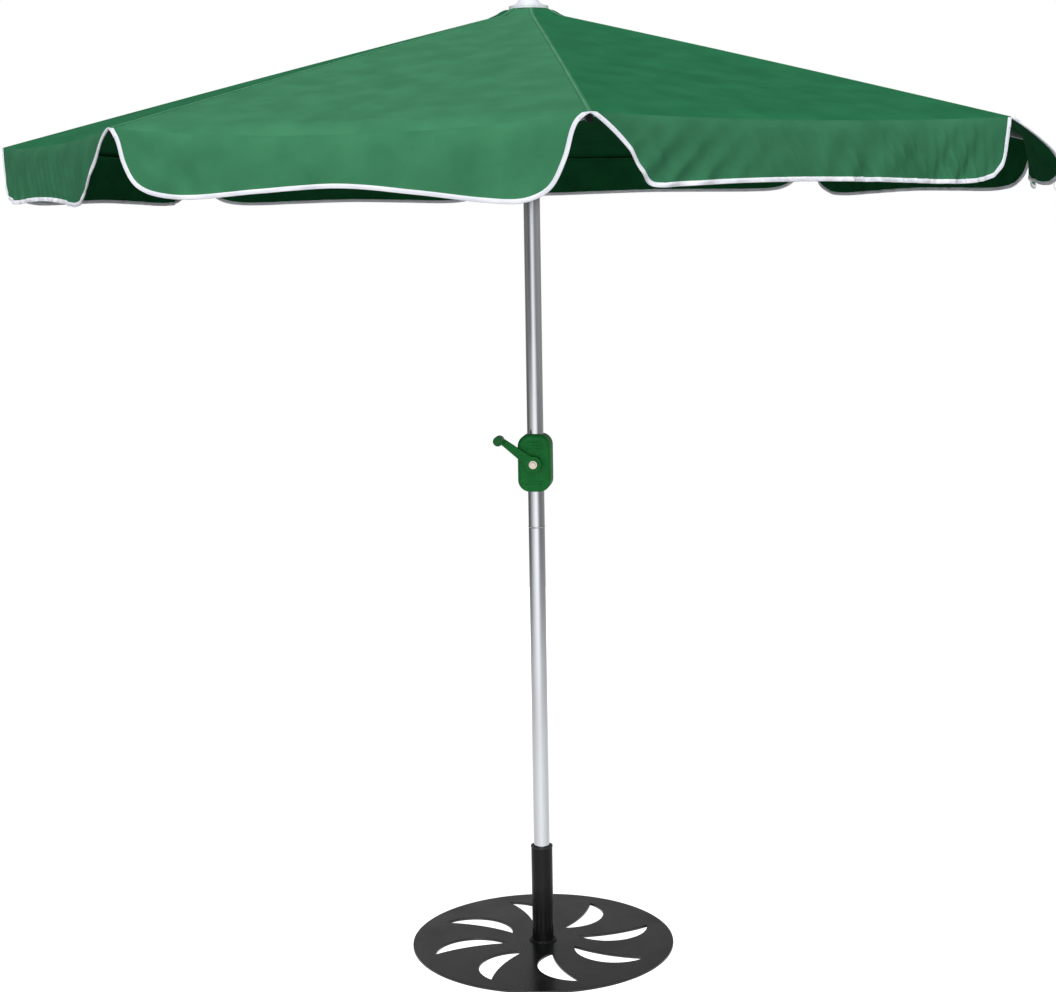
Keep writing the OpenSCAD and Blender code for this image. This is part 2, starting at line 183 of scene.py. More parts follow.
def new_object(name: str, verts: np.ndarray, faces: Sequence[Sequence[int]]) -> Piece:
    """Makes a mesh object at the origin.

    Args:
        name: the object's name.
        verts: an array of points, one to a row, in metres.
        faces: the point numbers of each face.

    Returns:
        The object, linked to the scene.
    """
    mesh = bpy.data.meshes.new(name)
    mesh.from_pydata([tuple(float(c) for c in v) for v in verts], [], [list(f) for f in faces])
    mesh.update()
    piece = bpy.data.objects.new(name, mesh)
    bpy.context.scene.collection.objects.link(piece)
    return piece


def write_uv(piece: Piece, uv: np.ndarray) -> None:
    """Gives a mesh a UV map from one pair for each point, in metres along the cloth."""
    layer = piece.data.uv_layers.new(name="cloth")
    for loop in piece.data.loops:
        layer.data[loop.index].uv = tuple(float(c) for c in uv[loop.vertex_index])


def grid_faces(rows: int, cols: int, flip: bool = False) -> list[list[int]]:
    """Lists the four-sided faces of a grid of points, turned over if flip is set."""
    faces = []
    for i in range(rows - 1):
        for j in range(cols - 1):
            a = i * cols + j
            face = [a, a + 1, a + cols + 1, a + cols]
            faces.append(face[::-1] if flip else face)
    return faces


def loft(name: str, rings: np.ndarray, reaches: Sequence[float]) -> Piece:
    """Joins closed rings of points into a tube and closes both ends.

    Args:
        name: the object's name.
        rings: an array of rings, points in a ring, and coordinates, in metres.
        reaches: where each of a ring's points lies across the cloth, for the UV map.

    Returns:
        The object, with a UV map along and across it.
    """
    n, m = rings.shape[:2]
    faces = []
    for i in range(n - 1):
        for j in range(m):
            k = (j + 1) % m
            faces.append([i * m + j, i * m + k, (i + 1) * m + k, (i + 1) * m + j])
    faces.append(list(range(m))[::-1])
    faces.append([(n - 1) * m + j for j in range(m)])
    piece = new_object(name, rings.reshape(-1, 3), faces)
    middle = rings.mean(axis=1)
    along = np.concatenate([[0], np.cumsum(np.linalg.norm(np.diff(middle, axis=0), axis=1))])
    write_uv(piece, np.array([[along[i], reaches[j]] for i in range(n) for j in range(m)]))
    with editing(piece):
        bpy.ops.mesh.normals_make_consistent(inside=False)
    return piece


def refined(node: str, bevel: float, segments: int = 2, angle: float = 30) -> Piece:
    """Copies a CAD node, joins its triangles into clean faces and rounds its edges.

    Args:
        node: the CAD node to copy and stand for.
        bevel: the edge radius in metres.
        segments: the number of facets across a rounded edge.
        angle: edges sharper than this many degrees are rounded.

    Returns:
        The finished piece, which rides on the node's body.
    """
    source = frame["nodes"][node]
    piece = bpy.data.objects.new(node + "_finished", source.data.copy())
    bpy.context.scene.collection.objects.link(piece)
    with editing(piece):
        bpy.ops.mesh.remove_doubles(threshold=0.02 * MM)
        bpy.ops.mesh.dissolve_limited(angle_limit=math.radians(0.8))
        bpy.ops.mesh.normals_make_consistent(inside=False)
    apply_modifier(piece, "BEVEL", width=bevel, segments=segments, limit_method="ANGLE",
                   angle_limit=math.radians(angle), use_clamp_overlap=True)
    smooth_by_angle(piece)
    apply_modifier(piece, "WEIGHTED_NORMAL", keep_sharp=True, weight=50)
    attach(piece, source["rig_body"])
    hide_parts(node)
    return piece


def finished(piece: Piece, node: str) -> Piece:
    """Puts a modelled piece's place in its mesh and rides it on a CAD node's body."""
    only_select(piece)
    bpy.ops.object.transform_apply(location=True, rotation=True, scale=True)
    smooth_by_angle(piece)
    apply_modifier(piece, "WEIGHTED_NORMAL", keep_sharp=True, weight=50)
    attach(piece, frame["nodes"][node]["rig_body"])
    return piece


def pick_edges(piece: Piece, test: Callable[[Vector, Vector], bool]) -> None:
    """Leaves the piece in edit mode with those edges selected whose two ends pass a test."""
    only_select(piece)
    bpy.ops.object.mode_set(mode="EDIT")
    bpy.ops.mesh.select_mode(type="EDGE")
    bpy.ops.mesh.select_all(action="DESELECT")
    bpy.ops.object.mode_set(mode="OBJECT")
    points = piece.data.vertices
    for edge in piece.data.edges:
        a, b = (points[i].co for i in edge.vertices)
        edge.select = test(a, b)
    bpy.ops.object.mode_set(mode="EDIT")


def bevel_picked(offset: float, segments: int) -> None:
    """Rounds the selected edges and leaves edit mode."""
    bpy.ops.mesh.bevel(offset=offset, segments=segments, affect="EDGES", profile=0.5)
    bpy.ops.object.mode_set(mode="OBJECT")


def cut(piece: Piece, cutter: Piece) -> None:
    """Cuts a piece with another, which is then deleted."""
    apply_modifier(piece, "BOOLEAN", object=cutter, operation="DIFFERENCE", solver="EXACT")
    bpy.data.objects.remove(cutter, do_unlink=True)


def unit(v: np.ndarray) -> np.ndarray:
    """Scales vectors, one to a row, to a length of one."""
    return v / np.maximum(np.linalg.norm(v, axis=-1, keepdims=True), 1e-12)


def smoothstep(x: np.ndarray | float) -> np.ndarray | float:
    """Rises smoothly from 0 to 1 as x does."""
    t = np.clip(x, 0, 1)
    return t * t * (3 - 2 * t)


# ---------------------------------------------------------------- finishes


class Along(Enum):
    """The coordinates that a pattern follows."""

    OBJECT = "Object"
    CLOTH = "UV"


@dataclass(frozen=True)
class Finish:
    """A material and how its surface was made.

    name is the material's name, colour its sRGB hex, and the rest are the shader's own values.
    """

    name: str
    colour: str
    roughness: float = 0.5
    metallic: float = 0.0
    ior: float = 1.5
    specular: float = 0.5
    coat: float = 0.0

    def material(self) -> bpy.types.Material:
        """Returns the material, made on its first use."""
        known = bpy.data.materials.get(self.name)
        if known:
            return known
        made = bpy.data.materials.new(self.name)
        made.use_nodes = True
        tree = made.node_tree
        tree.nodes.clear()
        shader = add_node(tree, "ShaderNodeBsdfPrincipled", {
            "Base Color": srgb(self.colour), "Roughness": self.roughness, "Metallic": self.metallic,
            "Coat Weight": self.coat, "Coat Roughness": 0.12})
        if not self.metallic:
            shader.inputs["IOR"].default_value = self.ior
            shader.inputs["Specular IOR Level"].default_value = self.specular
        add_node(tree, "ShaderNodeOutputMaterial", {"Surface": shader.outputs[0]})
        made.diffuse_color = srgb(self.colour)
        self.surface(tree, shader)
        return made

    def surface(self, tree: Tree, shader: Node) -> None:
        """Adds the finish's own pattern to its shader."""

    def place(self, tree: Tree, along: Along, scale: Triple) -> Any:
        """Returns the coordinates of a pattern whose scale is in repeats to the metre."""
        coordinates = add_node(tree, "ShaderNodeTexCoord", {})
        mapping = add_node(tree, "ShaderNodeMapping", {"Vector": coordinates.outputs[along.value], "Scale": scale})
        return mapping.outputs["Vector"]

    def waves(self, tree: Tree, along: Along, spacing: float, way: str, wander: float) -> Node:
        """Returns even lines, spacing metres apart, that run across a direction and wander a little."""
        return add_node(tree, "ShaderNodeTexWave", {
            "Vector": self.place(tree, along, (1.0, 1.0, 1.0)), "Scale": WAVE_TURN / spacing, "Distortion": wander},
            bands_direction=way)

    def mottle(self, tree: Tree, shader: Node, vector: Any, dark: str, light: str,
               low: float = 0.35, high: float = 0.65, detail: float = 5.0) -> None:
        """Varies the colour between two hex values with a cloudy pattern."""
        noise = add_node(tree, "ShaderNodeTexNoise", {"Vector": vector, "Scale": 1.0, "Detail": detail})
        amount = add_node(tree, "ShaderNodeMapRange", {"Value": noise.outputs[0], "From Min": low, "From Max": high})
        mix = add_node(tree, "ShaderNodeMix", {"Factor": amount.outputs[0]}, data_type="RGBA")
        mix.inputs[6].default_value = srgb(dark)
        mix.inputs[7].default_value = srgb(light)
        tree.links.new(mix.outputs[2], shader.inputs["Base Color"])

    def roughen(self, tree: Tree, shader: Node, vector: Any, low: float, high: float) -> None:
        """Varies the roughness between two values with a cloudy pattern."""
        noise = add_node(tree, "ShaderNodeTexNoise", {"Vector": vector, "Scale": 1.0, "Detail": 4.0})
        amount = add_node(tree, "ShaderNodeMapRange", {
            "Value": noise.outputs[0], "From Min": 0.3, "From Max": 0.7, "To Min": low, "To Max": high})
        tree.links.new(amount.outputs[0], shader.inputs["Roughness"])

    def bump(self, tree: Tree, shader: Node, height: Any, depth: float, strength: float = 1.0) -> None:
        """Raises the surface by depth metres where height is 1."""
        made = add_node(tree, "ShaderNodeBump", {"Height": height, "Distance": depth, "Strength": strength})
        tree.links.new(made.outputs[0], shader.inputs["Normal"])


@dataclass(frozen=True)
class WovenPolyester(Finish):
    """Plain-woven, solution-dyed polyester: matt, with a faint thread grid and uneven dye.

    thread is the drawn thread spacing. The real one is about 0.4 mm, too fine to show, so it is drawn coarser.
    """

    dark: str = "#000000"
    light: str = "#ffffff"
    thread: float = 2.4 * MM
    cloud: float = 90 * MM

    def surface(self, tree: Tree, shader: Node) -> None:
        """Adds the dye's clouds and the weave's bump."""
        self.mottle(tree, shader, self.place(tree, Along.CLOTH, (1 / self.cloud,) * 3), self.dark, self.light)
        warp, weft = (self.waves(tree, Along.CLOTH, self.thread, way, 0.4) for way in "XY")
        weave = add_node(tree, "ShaderNodeMath", {0: warp.outputs["Fac"], 1: weft.outputs["Fac"]}, operation="MULTIPLY")
        slub = add_node(tree, "ShaderNodeTexNoise", {
            "Vector": self.place(tree, Along.CLOTH, (18.0, 60.0, 1.0)), "Scale": 1.0, "Detail": 6.0})
        height = add_node(tree, "ShaderNodeMath", {0: slub.outputs[0], 1: weave.outputs[0]}, operation="ADD")
        self.bump(tree, shader, height.outputs[0], 0.3 * MM, 0.35)


@dataclass(frozen=True)
class BindingTape(Finish):
    """White twill binding tape, folded over the cloth's edge and stitched: fine cross ribs and a stitch line."""

    rib: float = 2.2 * MM

    def surface(self, tree: Tree, shader: Node) -> None:
        """Adds the twill's ribs and the tape's faint grey soiling."""
        shader.inputs["Sheen Weight"].default_value = 0.1
        self.mottle(tree, shader, self.place(tree, Along.CLOTH, (14.0, 90.0, 1.0)), "#e2e5f0", "#f7f8fd")
        twill = self.waves(tree, Along.CLOTH, self.rib, "DIAGONAL", 0.5)
        self.bump(tree, shader, twill.outputs["Fac"], 0.3 * MM, 0.6)


@dataclass(frozen=True)
class DrawnMetal(Finish):
    """Metal tube as drawn and polished: fine lines along its length, and a little uneven brightness."""

    line: float = 1.2 * MM
    dark: str = "#8c8c90"
    light: str = "#b4b4b8"

    def surface(self, tree: Tree, shader: Node) -> None:
        """Adds draw lines along Z and cloudy polish."""
        lines = self.place(tree, Along.OBJECT, (1 / self.line, 1 / self.line, 3.0))
        self.mottle(tree, shader, self.place(tree, Along.OBJECT, (14.0, 14.0, 2.5)), self.dark, self.light, 0.3, 0.7)
        self.roughen(tree, shader, self.place(tree, Along.OBJECT, (60.0, 60.0, 9.0)),
                     self.roughness * 0.8, self.roughness * 1.3)
        noise = add_node(tree, "ShaderNodeTexNoise", {"Vector": lines, "Scale": 1.0, "Detail": 3.0})
        self.bump(tree, shader, noise.outputs[0], 0.02 * MM, 0.5)


@dataclass(frozen=True)
class CloudedFinish(Finish):
    """A hard finish, slightly cloudy in colour and gloss, with a fine relief.

    The colour runs between dark and light. clouds and gloss_clouds are in repeats to the metre, gloss is how far the
    roughness varies either way, relief is the spacing of the relief and depth its height.
    """

    dark: str = "#000000"
    light: str = "#ffffff"
    clouds: Triple = (35.0, 35.0, 35.0)
    cloud_range: tuple[float, float] = (0.35, 0.65)
    cloud_detail: float = 5.0
    gloss_clouds: Triple = (120.0, 120.0, 60.0)
    gloss: tuple[float, float] = (0.85, 1.2)
    relief: float = 0.9 * MM
    relief_detail: float = 2.0
    depth: float = 0.05 * MM
    strength: float = 0.7

    def surface(self, tree: Tree, shader: Node) -> None:
        """Adds the colour's and the gloss's clouds, and the relief."""
        self.mottle(tree, shader, self.place(tree, Along.OBJECT, self.clouds), self.dark, self.light,
                    *self.cloud_range, self.cloud_detail)
        self.roughen(tree, shader, self.place(tree, Along.OBJECT, self.gloss_clouds),
                     *(self.roughness * share for share in self.gloss))
        relief = self.place(tree, Along.OBJECT, (1 / self.relief,) * 3)
        noise = add_node(tree, "ShaderNodeTexNoise", {"Vector": relief, "Scale": 1.0, "Detail": self.relief_detail})
        self.bump(tree, shader, noise.outputs[0], self.depth, self.strength)


@dataclass(frozen=True)
class GrainedMoulding(CloudedFinish):
    """Injection-moulded plastic with a spark-eroded grain."""


@dataclass(frozen=True)
class SprayedCoat(CloudedFinish):
    """Stoved enamel or powder coat on steel: a glossy film with orange peel and a trace of dust."""

    clouds: Triple = (16.0, 16.0, 16.0)
    cloud_range: tuple[float, float] = (0.35, 0.7)
    cloud_detail: float = 8.0
    gloss_clouds: Triple = (9.0, 9.0, 9.0)
    gloss: tuple[float, float] = (0.75, 1.35)
    relief: float = 2.5 * MM
    relief_detail: float = 1.0
    strength: float = 0.6


@dataclass(frozen=True)
class BraidedPolyester(Finish):
    """Braided lift cord: crossing strands, off-white."""

    strand: float = 1.6 * MM

    def surface(self, tree: Tree, shader: Node) -> None:
        """Adds the braid's slanted strands."""
        self.mottle(tree, shader, self.place(tree, Along.OBJECT, (300.0, 300.0, 90.0)), "#bdbdb4", "#e2e2da")
        strands = self.waves(tree, Along.OBJECT, self.strand, "DIAGONAL", 0.0)
        self.bump(tree, shader, strands.outputs["Fac"], 0.3 * MM, 0.8)


# Canopy: woven polyester with a satin nap. Alternate gores take a lighter and a darker copy of the cloth: painted sheen
# on one gore and painted shade on the next. Its inner face is a darker copy again: painted shade under the canopy
CANOPY_PAINTED_SHEEN = WovenPolyester("woven_polyester_painted_sheen", "#3d815c", roughness=0.8, specular=0.15,
                               dark="#397b57", light="#418760")
CANOPY_PAINTED_SHADE = WovenPolyester("woven_polyester_painted_shade", "#246f4a", roughness=0.85, specular=0.08,
                                 dark="#216a46", light="#28754e")
# Flaps: a lighter and a darker copy of the flap cloth on alternate flaps, painted sheen and painted shade
FLAP_PAINTED_SHEEN = WovenPolyester("woven_polyester_flap_painted_sheen", "#3b7d59", roughness=0.82, specular=0.12,
                             dark="#377754", light="#3f835d")
FLAP_PAINTED_SHADE = WovenPolyester("woven_polyester_flap_painted_shade", "#347251", roughness=0.82, specular=0.12,
                               dark="#306c4c", light="#387856")
# Inner face of every gore and flap: a darker copy of the green, painted shade under the canopy
CANOPY_UNDER_PAINTED_SHADE = WovenPolyester("polyester_inner_face_painted_shade", "#195330", roughness=0.95, specular=0.02,
                              dark="#174d2c", light="#1b5934")
# Rib seams: a lighter green strip down the middle of every seam, a painted highlight along its ridge
SEAM_PAINTED_HIGHLIGHT = WovenPolyester("seam_ridge_painted_highlight_green", "#5b9374", roughness=0.7, specular=0.2,
                           dark="#558c6d", light="#629b7b")
BINDING = BindingTape("twill_binding_white", "#e1e4f2", roughness=0.8)
# Pole: bright-drawn tube, polished and clear coated
POLE_TUBE = DrawnMetal("bright_drawn_tube", "#c4c6ca", roughness=0.13, metallic=1.0, dark="#bcbec2", light="#cccfd3")
RIB_COAT = SprayedCoat("powder_coated_rib_grey", "#8f9296", roughness=0.42, metallic=0.3,
                       dark="#85888c", light="#999ca0")
WIRE = DrawnMetal("galvanised_wire", "#b4b6b8", roughness=0.35, metallic=1.0)
# Screws: zinc plated and chromate passivated, which is slightly yellow
ZINC = DrawnMetal("zinc_plated_steel", "#d3c8bb", roughness=0.28, metallic=1.0, dark="#bcb0a3", light="#e3dace")
# Plastics
GREEN_ABS = GrainedMoulding("moulded_abs_green", "#1f8b3f", roughness=0.45, specular=0.15, dark="#1d843b",
                            light="#219243")
KNOB_ABS = GrainedMoulding("moulded_abs_knob_green", "#1c7d39", roughness=0.38, specular=0.2, relief=0.7 * MM,
                           dark="#1a7635", light="#1e843d")
BLACK_NYLON = GrainedMoulding("moulded_nylon_black", "#1d1e1f", roughness=0.45, dark="#191a1b", light="#232425")
# Rib tip plugs: a darker copy of the black nylon, painted shade so that they sink into the dark under the canopy
PLUG_NYLON_PAINTED_SHADE = GrainedMoulding("moulded_nylon_plug_painted_shade", "#0f1011", roughness=0.6, specular=0.1, dark="#0c0d0e",
                             light="#131415")
WHITE_ABS = GrainedMoulding("moulded_abs_white", "#e9ecf4", roughness=0.3, depth=0.03 * MM,
                            dark="#e2e6f0", light="#f0f2f8")
# Base: stoved enamel on steel
BASE_ENAMEL = SprayedCoat("stoved_enamel_black", "#0f1010", roughness=0.27, coat=0.15,
                          dark="#0c0d0d", light="#141515")
TUBE_ENAMEL = SprayedCoat("stoved_enamel_black_tube", "#0f1010", roughness=0.34, specular=0.22,
                          dark="#0c0d0d", light="#141515")
CORD = BraidedPolyester("braided_polyester_cord", "#d4d4cc", roughness=0.8)


def dress(piece: Piece, *finishes: Finish, slot: str = "") -> Piece:
    """Gives a piece its finishes. The slot argument is not used."""
    piece.data.materials.clear()
    for finish in finishes:
        piece.data.materials.append(finish.material())
    log.info("%s: %s", piece.name, ", ".join(finish.name for finish in finishes))
    return piece


# ---------------------------------------------------------------- studio


@dataclass(frozen=True)
class SkyRing:
    """A ring of greys round the set, listed as degrees from the camera's side and grey.

    It takes over from the ring before it between two heights, each the sine of its angle.
    """

    bands: tuple[tuple[float, float], ...]
    start: float = 0.0
    full: float = 0.0


SKY_FRONT = ((-90, 0.29), (-70, 0.22), (-50, 0.15), (-33, 0.32), (-16, 1.17), (0, 1.44), (16, 0.79), (33, 0.34),
             (51, 0.38), (80, 0.45))
# Level with the eye, then just below it, then the ground's side, then high up
SKY_RINGS = (
    SkyRing(((-180, 0.5), (-118, 0.19)) + SKY_FRONT + ((118, 0.37), (180, 0.4))),
    SkyRing(((-180, 0.29), (-118, 0.12), (-90, 0.23), (-70, 0.59), (-50, 0.9), (-33, 1.29), (-16, 1.57), (0, 1.56),
             (16, 1.3), (33, 0.41), (51, 0.25), (70, 0.25), (118, 0.36), (180, 0.47)), -0.05, -0.12),
    SkyRing(((-180, 0.9), (-90, 1.0), (0, 1.5), (90, 0.95), (180, 0.85)), -0.17, -0.27),
    SkyRing(((-180, 0.16), (-118, 0.17)) + SKY_FRONT + ((118, 0.25), (180, 0.16)), 0.35, 0.40),
)


@dataclass
class Studio:
    """A pale floor, soft lights and the camera.

    Angles are in degrees and lengths in metres.
    """

    azimuth: float = 7.93
    distance: float = 4.4062
    height: float = 1.7337
    side: float = -0.0194
    pitch: float = 8.2667
    roll: float = -0.9394
    lens: float = 64.73
    floor_radius: float = 4.5
    brightest: float = 1.6

    def build(self) -> None:
        """Makes the camera, the floor, the sky and the lights."""
        self.camera()
        self.floor()
        self.sky()
        self.sun("key", azimuth=-92, height=55, power=1.9, spread=24)
        bpy.context.scene.view_settings.view_transform = "Standard"

    def camera(self) -> None:
        """Adds the camera, level with a head and tipped down a little."""
        az, tip, roll = (math.radians(v) for v in (self.azimuth, self.pitch, self.roll))
        back = Vector((math.sin(az), -math.cos(az), 0))
        right = Vector((math.cos(az), math.sin(az), 0))
        ahead = -back * math.cos(tip) - Vector((0, 0, 1)) * math.sin(tip)
        up = right.cross(ahead)
        turned_right = right * math.cos(roll) + up * math.sin(roll)
        turned_up = up * math.cos(roll) - right * math.sin(roll)
        place = back * self.distance + right * self.side + Vector((0, 0, self.height))
        data = bpy.data.cameras.new("camera")
        data.lens = self.lens
        data.sensor_width = 36
        camera = bpy.data.objects.new("camera", data)
        turn = Matrix((turned_right, turned_up, -ahead)).transposed().to_4x4()
        camera.matrix_world = Matrix.Translation(place) @ turn
        bpy.context.scene.collection.objects.link(camera)
        bpy.context.scene.camera = camera

    def floor(self) -> None:
        """Adds a wide pale floor under the base.

        It shows pale to the camera, throws little light back up under the canopy and leaves the metal's reflections
        to the sky.
        """
        floor = primitive("studio_floor", bpy.ops.mesh.primitive_circle_add, vertices=96, radius=self.floor_radius,
                          fill_type="NGON", location=(0, 0, -0.4 * MM))
        material = bpy.data.materials.new("studio_floor_pale")
        material.use_nodes = True
        tree = material.node_tree
        tree.nodes.clear()
        pale = add_node(tree, "ShaderNodeBsdfDiffuse", {"Color": srgb("#e6e6e6")})
        glow = add_node(tree, "ShaderNodeEmission", {"Color": srgb("#ffffff"), "Strength": 0.9})
        both = add_node(tree, "ShaderNodeAddShader", {0: pale.outputs[0], 1: glow.outputs[0]})
        dull = add_node(tree, "ShaderNodeBsdfDiffuse", {"Color": srgb("#7c7c7c")})
        clear = add_node(tree, "ShaderNodeBsdfTransparent", {})
        path = add_node(tree, "ShaderNodeLightPath", {})
        indirect = add_node(tree, "ShaderNodeMixShader", {
            0: path.outputs["Is Glossy Ray"], 1: dull.outputs[0], 2: clear.outputs[0]})
        mix = add_node(tree, "ShaderNodeMixShader", {
            0: path.outputs["Is Camera Ray"], 1: indirect.outputs[0], 2: both.outputs[0]})
        add_node(tree, "ShaderNodeOutputMaterial", {"Surface": mix.outputs[0]})
        floor.data.materials.append(material)

    def sky(self) -> None:
        """Lights the set softly from all round, with rings of greys for the metal to reflect and white behind."""
        world = bpy.data.worlds.new("studio_sky")
        world.use_nodes = True
        tree = world.node_tree
        tree.nodes.clear()
        spot = add_node(tree, "ShaderNodeTexCoord", {})
        turn = add_node(tree, "ShaderNodeMapping", {"Vector": spot.outputs["Generated"],
                                                    "Rotation": (0, 0, math.radians(90 - self.azimuth))})
        about = add_node(tree, "ShaderNodeTexGradient", {"Vector": turn.outputs[0]}, gradient_type="RADIAL")
        height = add_node(tree, "ShaderNodeSeparateXYZ", {"Vector": spot.outputs["Generated"]})
        shade = self.greys(tree, about.outputs["Fac"], SKY_RINGS[0])
        for ring in SKY_RINGS[1:]:
            amount = add_node(tree, "ShaderNodeMapRange", {
                "Value": height.outputs["Z"], "From Min": ring.start, "From Max": ring.full},
                interpolation_type="SMOOTHSTEP")
            greys = self.greys(tree, about.outputs["Fac"], ring)
            mix = add_node(tree, "ShaderNodeMix", {0: amount.outputs[0], 6: shade, 7: greys}, data_type="RGBA")
            shade = mix.outputs[2]
        dim = add_node(tree, "ShaderNodeBackground", {"Color": shade, "Strength": self.brightest})
        white = add_node(tree, "ShaderNodeBackground", {"Color": (1.0, 1.0, 1.0, 1.0), "Strength": 1.0})
        path = add_node(tree, "ShaderNodeLightPath", {})
        mix = add_node(tree, "ShaderNodeMixShader", {
            0: path.outputs["Is Camera Ray"], 1: dim.outputs[0], 2: white.outputs[0]})
        add_node(tree, "ShaderNodeOutputWorld", {"Surface": mix.outputs[0]})
        bpy.context.scene.world = world

    def greys(self, tree: Tree, about: Any, ring: SkyRing) -> Any:
        """Returns a ring's grey at each direction, as a share of the brightest."""
        ramp_node = add_node(tree, "ShaderNodeValToRGB", {"Fac": about})
        ramp = ramp_node.color_ramp
        for _ in ring.bands[2:]:
            ramp.elements.new(0.5)
        for element, (turned, grey) in zip(ramp.elements, ring.bands):
            element.position = 0.5 + turned / 360
            element.color = (grey / self.brightest,) * 3 + (1.0,)
        return ramp_node.outputs[0]

    def sun(self, name: str, azimuth: float, height: float, power: float, spread: float) -> None:
        """Adds a distant soft light.

        Args:
            name: the light's name.
            azimuth: the direction it comes from, in degrees from +X.
            height: how high it stands, in degrees.
            power: its strength in watts per square metre.
            spread: how wide it looks, in degrees.
        """
        data = bpy.data.lights.new(name, "SUN")
        data.energy = power
        data.angle = math.radians(spread)
        light = bpy.data.objects.new(name, data)
        turn, tip = math.radians(azimuth), math.radians(height)
        source = Vector((math.cos(turn) * math.cos(tip), math.sin(turn) * math.cos(tip), math.sin(tip)))
        light.rotation_euler = (-source).to_track_quat("-Z", "Y").to_euler()
        bpy.context.scene.collection.objects.link(light)


# ---------------------------------------------------------------- canopy


EVEN_SIDE = ((12, 25), (26, 62), (48, 96), (86, 117), (150, 125), (300, 122))
SHORT_SIDE = ((12, 25), (26, 60), (46, 88), (84, 104), (150, 108), (300, 106))


@dataclass(frozen=True)
class FlapShape:
    """How one valance flap is cut and how it hangs.

    Left and right are as seen from outside. left and right list the outline's points from each rib tip, as
    millimetres along the fold line and millimetres down; middle is the drop half way. The other lengths are in
    metres: fold is the size of the folds, pitch their spacing and sag the dip of the fold line. lean is how far
    the flap stands out from straight down at its left and right, in degrees. roll is how far the cloth rounds
    over the edge, and how quickly.
    """

    left: tuple[tuple[float, float], ...] = EVEN_SIDE
    right: tuple[tuple[float, float], ...] = EVEN_SIDE
    middle: float = 119
    fold: float = 3.0 * MM
    pitch: float = 90 * MM
    skew: float = 0.5
    lean: tuple[float, float] = (3.0, 3.0)
    sag: float = 15 * MM
    roll: tuple[float, float] = (13 * MM, 10 * MM)
    loop: bool = False
    seed: int = 1


